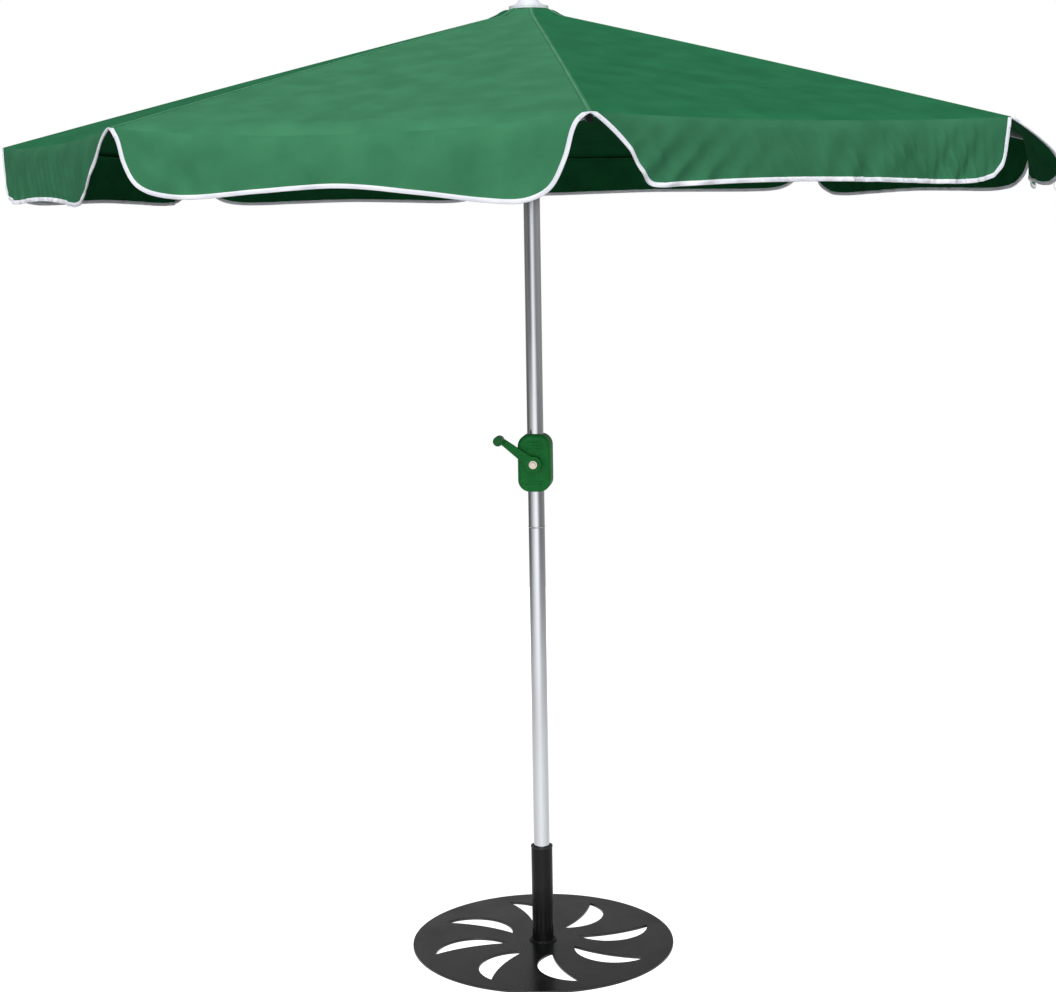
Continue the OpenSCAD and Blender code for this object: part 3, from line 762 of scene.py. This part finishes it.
@dataclass
class Canopy:
    """The sewn cover: eight gores, eight valance flaps with white binding, and the seams.

    The ribs' line and the fold line come from the frame's joints. Lengths are in metres and slopes in radians.
    """

    columns: int = 280
    rows: int = 44
    flap_rows: int = 26
    cloth: float = 0.8 * MM
    inner_r: float = 24 * MM
    flat_r: float = 47 * MM
    shoulder_r: float = 86 * MM
    flat_rise: float = 15.7 * MM
    bow: float = 3 * MM
    belly: float = 8 * MM
    pull: float = 11 * MM
    tape_w: float = 7.6 * MM
    seam_half: float = 5 * MM
    turn_in: float = 28 * MM
    turn_in_slope: float = math.radians(15)
    mean_drop: float = 115 * MM
    keep: float = 0.23
    flaps: dict[int, FlapShape] = field(default_factory=lambda: {
        1: FlapShape(left=((33, 24), (71, 62), (100, 104), (121, 124), (170, 124), (300, 119)),
                     right=((7, 40), (18, 84), (42, 110), (86, 121), (160, 123), (300, 119)), middle=117,
                     fold=7.5 * MM, pitch=76 * MM, skew=1.3, sag=9 * MM, roll=(14 * MM, 9 * MM), seed=11),
        2: FlapShape(left=((10, 25), (20, 62), (36, 104), (74, 136), (140, 143), (300, 119)), middle=108,
                     fold=2.2 * MM, pitch=120 * MM, lean=(60.0, 2.0), sag=10 * MM, loop=True, seed=12),
        3: FlapShape(fold=4.0 * MM, seed=13),
        4: FlapShape(left=SHORT_SIDE, right=SHORT_SIDE, middle=104, seed=14),
        5: FlapShape(fold=3.4 * MM, seed=15),
        6: FlapShape(fold=3.8 * MM, seed=16),
        7: FlapShape(right=((50, 20), (105, 67), (165, 110), (205, 133), (255, 138), (340, 130)), middle=124,
                     fold=4.6 * MM, pitch=58 * MM, skew=1.4, sag=11 * MM, seed=17),
        8: FlapShape(left=((14, 24), (27, 67), (50, 104), (89, 123), (160, 131), (300, 123)),
                     right=((23, 20), (41, 78), (68, 127), (113, 148), (180, 147), (310, 131)), middle=117,
                     fold=2.4 * MM, pitch=150 * MM, skew=1.2, sag=24 * MM, roll=(15 * MM, 14 * MM), seed=18),
    })

    def __post_init__(self) -> None:
        """Reads the ribs' pivots and the fold line from the frame."""
        pivot = Vector(JOINTS["fold"]["pos_m"])
        fold_line = Vector(JOINTS["valance_1_hang"]["pos_m"])
        panel_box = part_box("canopy_panel_1")
        self.first = math.atan2(pivot.y, pivot.x)
        self.edge_r = math.hypot(fold_line.x, fold_line.y) / math.cos(HALF_GORE)
        self.half = self.edge_r * math.sin(HALF_GORE)
        self.edge_z = panel_box[0][2] + 1.2 * MM
        self.top_z = pivot.z + self.flat_rise
        self.rise = math.tan(RIB_SLOPE)
        self.us = np.sin(np.linspace(-1, 1, self.columns + 1) * math.pi / 2)
        log.info("canopy edge at r %.4f, z %.4f", self.edge_r, self.edge_z)

    # -- form

    def angle(self, number: float) -> float:
        """Returns the direction of a rib, where 1.5 is half way from the first rib to the second."""
        return self.first + 2 * HALF_GORE * (number - 1)

    def directions(self, number: float) -> tuple[np.ndarray, np.ndarray]:
        """Returns the ways outward and onward round the canopy at a rib, or half way to the next."""
        a = self.angle(number)
        return np.array([math.cos(a), math.sin(a), 0]), np.array([-math.sin(a), math.cos(a), 0])

    def line_z(self, r: np.ndarray) -> np.ndarray:
        """Returns the cloth's height along a rib at distance r from the pole's axis."""
        share = np.clip(r / self.edge_r, 0, 1)
        slope = self.edge_z + (self.edge_r - r) * self.rise + self.bow * np.sin(math.pi * share)
        ease = smoothstep((r - self.flat_r) / (self.shoulder_r - self.flat_r))
        return self.top_z * (1 - ease) + slope * ease

    def hollow(self, u: np.ndarray) -> np.ndarray:
        """Returns how free the cloth is across a gore: 0 at the ribs, 1 half way."""
        return np.maximum(1 - np.abs(u) ** 2.2, 0)

    def surface(self, k: int, u: np.ndarray, v: np.ndarray) -> np.ndarray:
        """Returns the cloth's points in gore k, u across it from -1 to 1 and v down it from 0 to 1."""
        shape = self.flaps[k]
        v = np.clip(v, 0, 1)
        r = self.inner_r + (self.edge_r - self.inner_r) * v
        a, b = self.angle(k), self.angle(k + 1)
        x = r * ((1 - u) * math.cos(a) + (1 + u) * math.cos(b)) / 2
        y = r * ((1 - u) * math.sin(a) + (1 + u) * math.sin(b)) / 2
        free = self.hollow(u)
        over = np.clip((v - 0.957) / 0.043, 0, 1) ** 2
        sag = self.belly * np.sin(math.pi * v ** 0.9) + shape.sag * (0.4 * v ** 5 + 0.6 * over)
        rng = np.random.RandomState(shape.seed + 40)
        crease = sum(np.sin(2 * math.pi * (u * rng.uniform(1.5, 5) + v * rng.uniform(-2, 2)) + rng.uniform(0, 7))
                     for _ in range(5)) * 0.5 * MM * free * v * (1 - v ** 8)
        out, _ = self.directions(k + 0.5)
        pull = self.pull * free * v ** 8
        z = self.line_z(r) - sag * free + crease
        return np.stack([x - pull * out[0], y - pull * out[1], z], axis=-1)

    def hang(self, k: int, s: np.ndarray, h: np.ndarray) -> np.ndarray:
        """Returns points of flap k, s along it from its left rib tip and h down from the level of the tips."""
        shape = self.flaps[k]
        out, along = self.directions(k + 0.5)
        u = s / self.half - 1
        free = self.hollow(u)
        down = h - shape.sag * free
        share = np.clip((u + 1) / 2, 0, 1)
        lean = np.radians(shape.lean[1] + (shape.lean[0] - shape.lean[1]) * (1 - share) ** 4)
        reach, quick = shape.roll
        roll = reach * free * (1 - np.exp(-np.maximum(down, 0) / quick))
        stand = (self.edge_r * math.cos(HALF_GORE) - self.pull * free + roll + down * np.sin(lean)
                 + self.folds(shape, s - self.half, down / 0.12))
        height = self.edge_z - shape.sag * free - down * np.cos(lean)
        return out * stand[..., None] + along * (s - self.half)[..., None] + np.array([0, 0, 1]) * height[..., None]

    def folds(self, shape: FlapShape, s: np.ndarray, depth: np.ndarray) -> np.ndarray:
        """Returns how far the folds push the cloth out, s from the flap's middle and depth its share of the drop."""
        rng = np.random.RandomState(shape.seed)
        depth = np.clip(depth, 0, 1.3)
        total = np.zeros_like(s)
        for _ in range(9):
            pitch = shape.pitch * rng.uniform(0.6, 1.8)
            skew = shape.skew * rng.uniform(-1, 1)
            centre, spread = rng.uniform(-0.42, 0.42), rng.uniform(0.05, 0.2)
            weight = np.exp(-(((s - centre) / spread) ** 2))
            wave = np.sin(2 * math.pi * (s / pitch + skew * depth) + rng.uniform(0, 7))
            total += weight * (1 - 2 * np.abs(wave) ** 1.4 if rng.uniform() < 0.5 else wave)
        side = np.clip((np.abs(s) / self.half - 0.55) / 0.4, 0, 1)
        pull = np.sin(2 * math.pi * (np.abs(s) / 0.06 + 1.3 * depth)) * side * (1 - side) * 4
        return shape.fold * (0.55 * total + 0.6 * pull) * depth ** 0.9 * (1 - smoothstep(side * 2 - 1) * 0.7)

    def outline(self, k: int) -> np.ndarray:
        """Returns flap k's outline from its left rib tip to its right one, in even steps of (s, h)."""
        shape = self.flaps[k]
        width = 2 * self.half
        points = [(0.0, 0.0)] + [(s * MM, h * MM) for s, h in shape.left] + [(self.half, shape.middle * MM)]
        points += [(width - s * MM, h * MM) for s, h in shape.right[::-1]] + [(width, 0.0)]
        knots = np.array(points)
        knots = np.vstack([2 * knots[0] - knots[1], knots, 2 * knots[-1] - knots[-2]])
        fine = []
        for i in range(1, len(knots) - 2):
            p0, p1, p2, p3 = knots[i - 1 : i + 3]
            gap = np.linalg.norm(p2 - p1)
            m1 = gap * (p2 - p0) / (np.linalg.norm(p1 - p0) + gap)
            m2 = gap * (p3 - p1) / (np.linalg.norm(p3 - p2) + gap)
            for t in np.linspace(0, 1, 40, endpoint=False):
                fine.append((2 * t**3 - 3 * t**2 + 1) * p1 + (t**3 - 2 * t**2 + t) * m1
                            + (3 * t**2 - 2 * t**3) * p2 + (t**3 - t**2) * m2)
        fine.append(knots[-2])
        fine = np.array(fine)
        travel = np.concatenate([[0], np.cumsum(np.linalg.norm(np.diff(fine, axis=0), axis=1))])
        even = np.linspace(0, travel[-1], 1201)
        path = np.stack([np.interp(even, travel, fine[:, 0]), np.interp(even, travel, fine[:, 1])], axis=-1)
        for _ in range(30):
            path[1:-1] = (path[:-2] + 2 * path[1:-1] + path[2:]) / 4
        return path

    # -- pieces

    def build(self) -> None:
        """Makes every gore, flap and seam, with their trimmings."""
        for k in range(1, RIB_COUNT + 1):
            self.gore(k)
            self.flap(k)
            self.seam(k)

    def thicken(self, piece: Piece) -> None:
        """Gives a dressed cloth its thickness, inwards, with its second finish on the inner face."""
        apply_modifier(piece, "SOLIDIFY", thickness=self.cloth, offset=-1.0, material_offset=1, material_offset_rim=0)
        smooth_by_angle(piece, 60)

    def squash(self, piece: Piece, k: int) -> None:
        """Gives a piece of gore k a mesh of its own; it is not gathered as the ribs close."""
        out, along = self.directions(k + 0.5)
        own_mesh(piece)

    def gore(self, k: int) -> None:
        """Makes one gore between two ribs."""
        v = np.concatenate([np.linspace(0, 0.055, 8)[:-1], np.linspace(0.055, 0.94, self.rows - 14)[:-1],
                            np.linspace(0.94, 1, 8)])
        grid_v, grid_u = np.meshgrid(v, self.us, indexing="ij")
        points = self.surface(k, grid_u, grid_v)
        rows, cols = grid_u.shape
        piece = new_object(f"canopy_gore_{k}", points.reshape(-1, 3), grid_faces(rows, cols, flip=True))
        slant = (self.edge_r - self.inner_r) * math.cos(HALF_GORE) / math.cos(RIB_SLOPE)
        share = (self.inner_r + (self.edge_r - self.inner_r) * grid_v) / self.edge_r
        write_uv(piece, np.stack([grid_u * self.half * share, grid_v * slant], axis=-1).reshape(-1, 2))
        # Even gores take the lighter copy (painted sheen), odd gores the darker copy (painted shade)
        dress(piece, CANOPY_PAINTED_SHEEN if k % 2 == 0 else CANOPY_PAINTED_SHADE, CANOPY_UNDER_PAINTED_SHADE, slot="canopy_cloth")
        self.thicken(piece)
        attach(piece, f"panel_{k}")
        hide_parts(f"canopy_panel_{k}")
        self.squash(piece, k)

    def flap(self, k: int) -> None:
        """Makes one hanging flap, with a turn-in sewn under the gore's edge, and its binding."""
        shape = self.flaps[k]
        path = self.outline(k)
        spread = (self.us + 1) / 2
        end = np.stack([np.interp(spread, np.linspace(0, 1, len(path)), path[:, i]) for i in (0, 1)], axis=-1)
        start = np.stack([(self.us + 1) * self.half, shape.sag * self.hollow(self.us)], axis=-1)
        w = np.linspace(0, 1, self.flap_rows + 1)[:, None] ** 1.3
        s = start[None, :, 0] * (1 - w) + end[None, :, 0] * w
        h = start[None, :, 1] * (1 - w) + end[None, :, 1] * w
        points = self.hang(k, s, h)
        inward = -self.directions(k + 0.5)[0]
        tucks = []
        for reach in (self.turn_in, self.turn_in / 2, 3 * MM):
            up = np.array([0, 0, reach * math.tan(self.turn_in_slope) - 1.8 * MM])
            tucks.append(points[0] + inward * reach + up)
        points = np.concatenate([np.array(tucks), points])
        rows, cols = points.shape[:2]
        piece = new_object(f"valance_flap_{k}", points.reshape(-1, 3), grid_faces(rows, cols, flip=True))
        tuck = np.array([-self.turn_in, -self.turn_in / 2, -3 * MM])[:, None] + np.zeros_like(s[0])
        across = np.concatenate([np.repeat(s[:1], 3, axis=0), s])
        write_uv(piece, np.stack([across, np.concatenate([tuck, h])], axis=-1).reshape(-1, 2))
        # Even flaps take the lighter copy (painted sheen), odd flaps the darker copy (painted shade)
        dress(piece, FLAP_PAINTED_SHEEN if k % 2 == 0 else FLAP_PAINTED_SHADE, CANOPY_UNDER_PAINTED_SHADE, slot="canopy_cloth")
        self.thicken(piece)
        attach(piece, f"valance_{k}")
        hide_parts(f"valance_{k}")
        self.squash(piece, k)
        trimmings = [self.binding(k, path[2:-2:4])] + ([self.loop(k, path)] if shape.loop else [])

    def binding(self, k: int, path: np.ndarray) -> Piece:
        """Makes the white tape folded over flap k's edge, path being points of its outline as (s, h)."""
        travel = unit(np.gradient(path, axis=0))
        inward = np.stack([travel[:, 1], -travel[:, 0]], axis=-1)
        w = self.tape_w
        profile = [(w, 0.6 * MM), (w - 0.4 * MM, 1.1 * MM), (w / 2, 1.35 * MM), (1.4 * MM, 1.2 * MM),
                   (-0.3 * MM, 0.8 * MM), (-0.8 * MM, -0.3 * MM), (-0.3 * MM, -1.5 * MM), (1.4 * MM, -2.0 * MM),
                   (w / 2, -2.15 * MM), (w - 0.4 * MM, -1.9 * MM), (w, -1.4 * MM)]
        s, h = path[:, 0], path[:, 1]
        step = 1 * MM
        ds = self.hang(k, s + step, h) - self.hang(k, s - step, h)
        dh = self.hang(k, s, h + step) - self.hang(k, s, h - step)
        out, _ = self.directions(k + 0.5)
        normals = unit(np.cross(ds, dh))
        normals *= np.sign(normals @ out)[:, None]
        rings = []
        for reach, height in profile:
            at_s, at_h = s + inward[:, 0] * reach, h + inward[:, 1] * reach
            fold = self.flaps[k].sag * self.hollow(at_s / self.half - 1)
            rings.append(self.hang(k, at_s, np.maximum(at_h, fold - 0.5 * MM)) + normals * height)
        return self.trimming(f"valance_binding_{k}", rings, profile, f"valance_{k}", k)

    def trimming(self, name: str, rings: Sequence[np.ndarray], profile: Sequence[tuple[float, float]], body: str,
                 gathered: int = 0) -> Piece:
        """Sews rows of points into a white tape.

        Args:
            name: the tape's name.
            rings: a row of points along the tape for each point of its profile.
            profile: the profile's points, as across the tape and through it.
            body: the body that it rides on.
            gathered: the number of the flap that it is passed to squash with, or 0.

        Returns:
            The tape.
        """
        piece = loft(name, np.stack(rings, axis=1), [across for across, _ in profile])
        smooth_by_angle(piece, 50)
        dress(piece, BINDING)
        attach(piece, body)
        if gathered:
            self.squash(piece, gathered)
        return piece

    def seam(self, k: int) -> None:
        """Makes the felled seam that joins two gores over rib k."""
        r = np.concatenate([np.linspace(self.inner_r + 4 * MM, 72 * MM, 10)[:-1],
                            np.linspace(72 * MM, self.edge_r - 1 * MM, 56)])
        out, side = self.directions(k)
        before = RIB_COUNT if k == 1 else k - 1
        edge = self.seam_half / MM
        shares = np.array([-edge, -4.7, -1.6, -0.8, 0.0, 0.8, 4.6, edge]) * MM
        lifts = np.array([-0.2, 0.25, 0.3, 0.75, 0.9, 0.35, 0.25, -0.2]) * MM
        points = []
        for radius in r:
            half = radius * math.tan(HALF_GORE)
            for share, lift in zip(shares, lifts):
                gore = k if share >= 0 else before
                across = min(abs(share) / half, 1.0)
                u = np.array(-1 + across if share >= 0 else 1 - across)
                v = np.array((radius - self.inner_r) / (self.edge_r - self.inner_r))
                spot = self.surface(gore, u, v)
                points.append(out * radius + side * share + np.array([0, 0, spot[2] + lift]))
        cols = len(shares)
        piece = new_object(f"canopy_seam_{k}", np.array(points), grid_faces(len(r), cols, flip=True))
        write_uv(piece, np.stack(np.broadcast_arrays(shares[None, :], r[:, None]), axis=-1).reshape(-1, 2))
        smooth_by_angle(piece, 60)
        dress(piece, CANOPY_PAINTED_SHEEN, SEAM_PAINTED_HIGHLIGHT, slot="canopy_cloth")
        # The three middle strips of each seam take the lighter green: painted highlight along the seam's ridge
        for face in piece.data.polygons:
            face.material_index = int(face.index % (cols - 1) in (2, 3, 4))
        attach(piece, f"rib_{k}")
        self.corner(k)

    def corner(self, k: int) -> Piece:
        """Makes the binding's short run over the tip of rib k, from one flap to the next."""
        before = RIB_COUNT if k == 1 else k - 1
        run = 24
        left_path, right_path = self.outline(before)[-run:], self.outline(k)[:run]
        left = self.hang(before, left_path[:, 0], left_path[:, 1])
        right = self.hang(k, right_path[:, 0], right_path[:, 1])
        centres = np.vstack([left[:-1], right])
        for _ in range(18):
            centres[1:-1] = (centres[:-2] + 2 * centres[1:-1] + centres[2:]) / 4
        out, _ = self.directions(k)
        travel = unit(np.gradient(centres, axis=0))
        normals = unit(out - travel * (travel @ out)[:, None])
        inward = np.cross(normals, travel)
        if inward[len(inward) // 2][2] < 0:
            inward = -inward
        over = np.exp(-((np.linspace(-1, 1, len(centres)) / 0.45) ** 2))[:, None]
        rearward = np.array([0, 0, math.sin(RIB_SLOPE)]) - out * math.cos(RIB_SLOPE)
        inward = unit(inward * (1 - over) + rearward * over)
        inward = unit(inward - travel * np.sum(inward * travel, axis=1, keepdims=True))
        normals = np.cross(travel, inward)
        if normals[len(normals) // 2][2] < 0:
            normals = -normals
        w = self.tape_w
        profile = [(w * 0.6, 1.0 * MM), (w * 0.3, 1.7 * MM), (0.0, 1.5 * MM), (-0.5 * MM, 0.3 * MM),
                   (-0.4 * MM, -1.2 * MM), (w * 0.3, -2.0 * MM), (w * 0.6, -1.4 * MM)]
        rings = [centres + inward * reach + normals * height for reach, height in profile]
        return self.trimming(f"tip_binding_{k}", rings, profile, f"rib_{k}")

    def loop(self, k: int, path: np.ndarray) -> Piece:
        """Makes the small tie loop sewn to the hem of flap k, near its left corner."""
        at = path[int(len(path) * 0.19)]
        foot = self.hang(k, at[0], at[1])
        out, along = self.directions(k + 0.5)
        bend = 2 * math.pi * np.linspace(0, 1, 25)
        centres = (foot + out * (6 * MM * np.sin(bend))[:, None]
                   - np.array([0, 0, 1]) * (10 * MM * (1 - np.cos(bend)))[:, None])
        travel = unit(np.gradient(centres, axis=0))
        normals = unit(np.cross(travel, along))
        across = np.cross(travel, normals)
        profile = [(2.2 * MM, 0.5 * MM), (-2.2 * MM, 0.5 * MM), (-2.2 * MM, -0.5 * MM), (2.2 * MM, -0.5 * MM)]
        rings = [centres + across * a + normals * b for a, b in profile]
        return self.trimming(f"hem_loop_{k}", rings, profile, f"valance_{k}", k)


# ---------------------------------------------------------------- hard parts


@dataclass
class CrankHousing:
    """The crank's two moulded shells: an upright block with round corners and a soft front edge.

    Grip grooves cross its front near the top and the bottom, and the pole passes through it.
    """

    corner: float = 27.5 * MM
    front_edge: float = 8 * MM
    seam_edge: float = 0.7 * MM
    groove_r: float = 1.3 * MM
    groove_half: float = 21 * MM
    bore_r: float = 19.2 * MM
    grooves_top: tuple[float, ...] = (17 * MM, 24 * MM, 31 * MM)
    grooves_low: tuple[float, ...] = (19 * MM, 26 * MM)

    def build(self) -> None:
        """Makes both shells."""
        for node, front in (("crank_housing_front", True), ("crank_housing_rear", False)):
            dress(self.shell(node, front), GREEN_ABS, slot="green_plastic")

    def shell(self, node: str, front: bool) -> Piece:
        """Makes one shell in the place of its CAD node.

        Args:
            node: the CAD node.
            front: True for the shell that the crank stands on.

        Returns:
            The shell.
        """
        low, high = (Vector(c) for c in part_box(node))
        piece = primitive(node + "_moulded", bpy.ops.mesh.primitive_cube_add, size=1, location=(low + high) / 2,
                          scale=high - low)
        only_select(piece)
        bpy.ops.object.transform_apply(location=True, rotation=True, scale=True)
        pick_edges(piece, lambda a, b: abs(a.y - b.y) > 5 * MM)
        bevel_picked(self.corner, 12)
        outer, seam = (low.y, high.y) if front else (high.y, low.y)
        pick_edges(piece, lambda a, b: abs(a.y - outer) < 1e-5 and abs(b.y - outer) < 1e-5)
        bevel_picked(self.front_edge, 6)
        pick_edges(piece, lambda a, b: abs(a.y - seam) < 1e-5 and abs(b.y - seam) < 1e-5)
        bevel_picked(self.seam_edge, 2)
        if front:
            for z in [high.z - d for d in self.grooves_top] + [low.z + d for d in self.grooves_low]:
                cut(piece, self.rod((0, outer - 0.5 * MM, z), self.groove_r, 2 * self.groove_half, (0, math.pi / 2, 0)))
        cut(piece, self.rod((0, 0, (low.z + high.z) / 2), self.bore_r, 0.3, (0, 0, 0), 64))
        piece = finished(piece, node)
        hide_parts(node)
        return piece

    def rod(self, place: Triple, radius: float, length: float, turn: Triple, sides: int = 16) -> Piece:
        """Makes a round rod to cut with."""
        return primitive("cutter", bpy.ops.mesh.primitive_cylinder_add, vertices=sides, radius=radius, depth=length,
                         location=place, rotation=turn)


@dataclass
class BaseWeld:
    """The fillet weld round the foot of the base tube, uneven as a hand-run bead is.

    bead is the bead's radius, out and up where its middle lies from the tube and the plate, and uneven how far its
    surface wanders, all in metres.
    """

    bead: float = 3.4 * MM
    out: float = 0.6 * MM
    up: float = 0.3 * MM
    uneven: float = 0.35 * MM

    def build(self) -> None:
        """Makes the bead."""
        low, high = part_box("base_tube")
        piece = primitive("base_weld", bpy.ops.mesh.primitive_torus_add, major_segments=160, minor_segments=10,
                          major_radius=(high[0] - low[0]) / 2 + self.out, minor_radius=self.bead,
                          location=(0, 0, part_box("base_plate")[1][2] + self.up))
        with editing(piece):
            bpy.ops.transform.vertex_random(offset=self.uneven, uniform=0.0, normal=0.7, seed=4)
            bpy.ops.mesh.vertices_smooth(factor=0.5, repeat=1)
        dress(finished(piece, "base_tube"), TUBE_ENAMEL, slot="base_enamel")


@dataclass(frozen=True)
class HardPart:
    """A moulded, pressed or drawn part: a rounded-edge copy of its CAD node.

    bevel is the edge radius in metres and segments the facets across it.
    """

    node: str
    finish: Finish
    slot: str
    bevel: float
    segments: int = 2

    def build(self, ending: str = "") -> None:
        """Makes and dresses the part, its node's name ending in the given way."""
        dress(refined(self.node + ending, self.bevel, self.segments), self.finish, slot=self.slot)


HARD_PARTS = (
    HardPart("base_plate", BASE_ENAMEL, "base_enamel", 0.9 * MM, 3),
    HardPart("base_tube", TUBE_ENAMEL, "base_enamel", 0.5 * MM),
    HardPart("pole_bush", BLACK_NYLON, "black_plastic", 0.6 * MM),
    HardPart("clamp_screw", BLACK_NYLON, "black_plastic", 0.8 * MM),
    HardPart("lower_pole", POLE_TUBE, "pole_metal", 0.4 * MM),
    HardPart("upper_pole", POLE_TUBE, "pole_metal", 0.7 * MM),
    HardPart("housing_screws", ZINC, "screw_steel", 0.4 * MM),
    HardPart("top_hub", BLACK_NYLON, "hub_plastic", 0.6 * MM),
    HardPart("finial", WHITE_ABS, "white_plastic", 1.2 * MM, 3),
    HardPart("crank_arm", GREEN_ABS, "green_plastic", 1.6 * MM, 3),
    HardPart("crank_knob", KNOB_ABS, "green_plastic", 1.8 * MM, 3),
    HardPart("crank_screw", ZINC, "screw_steel", 0.5 * MM),
    HardPart("crank_spool", BLACK_NYLON, "black_plastic", 0.4 * MM),
    HardPart("runner", BLACK_NYLON, "hub_plastic", 0.6 * MM),
)
RIB_PARTS = (
    HardPart("rib", RIB_COAT, "rib_metal", 0.3 * MM),
    HardPart("rib_tip", PLUG_NYLON_PAINTED_SHADE, "hub_plastic", 0.6 * MM),
    HardPart("strut", RIB_COAT, "rib_metal", 0.3 * MM),
)
# Hidden nodes that are kept as the CAD has them
CARRIED_OVER = {"hub_ring": WIRE, "runner_ring": WIRE, "lift_cord": CORD, "top_pulley": BLACK_NYLON}


@dataclass
class HardParts:
    """Every other hard part of the umbrella.

    rolled_r is the radius of the pole's rolled edge and sunk how deep it lies in the pole's wall, in metres.
    """

    rolled_r: float = 1.5 * MM
    sunk: float = 0.5 * MM

    def build(self) -> None:
        """Makes the parts and the pole's rolled edge, and finishes the nodes that are carried over."""
        for part in HARD_PARTS:
            part.build()
            if part.node == "upper_pole":
                self.rolled_edge()
        for k in range(1, RIB_COUNT + 1):
            for part in RIB_PARTS:
                part.build(f"_{k}")
        for name, finish in CARRIED_OVER.items():
            node = frame["nodes"][name]
            node.data.materials.clear()
            node.data.materials.append(finish.material())

    def rolled_edge(self) -> None:
        """Makes the rolled edge round the mouth of the pole's upper length, where the lower length goes in."""
        low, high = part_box("upper_pole")
        piece = primitive("pole_rolled_edge", bpy.ops.mesh.primitive_torus_add, major_segments=96, minor_segments=10,
                          major_radius=(high[0] - low[0]) / 2 - self.sunk, minor_radius=self.rolled_r,
                          location=(0, 0, low[2] + self.rolled_r))
        dress(finished(piece, "upper_pole"), POLE_TUBE, slot="pole_metal")


def main() -> None:
    """Builds the studio, the cover and the hard parts, in that order."""
    for section in (Studio(), Canopy(), CrankHousing(), BaseWeld(), HardParts()):
        section.build()
        log.info("%s done", type(section).__name__)


if __name__ == "__main__":
    main()
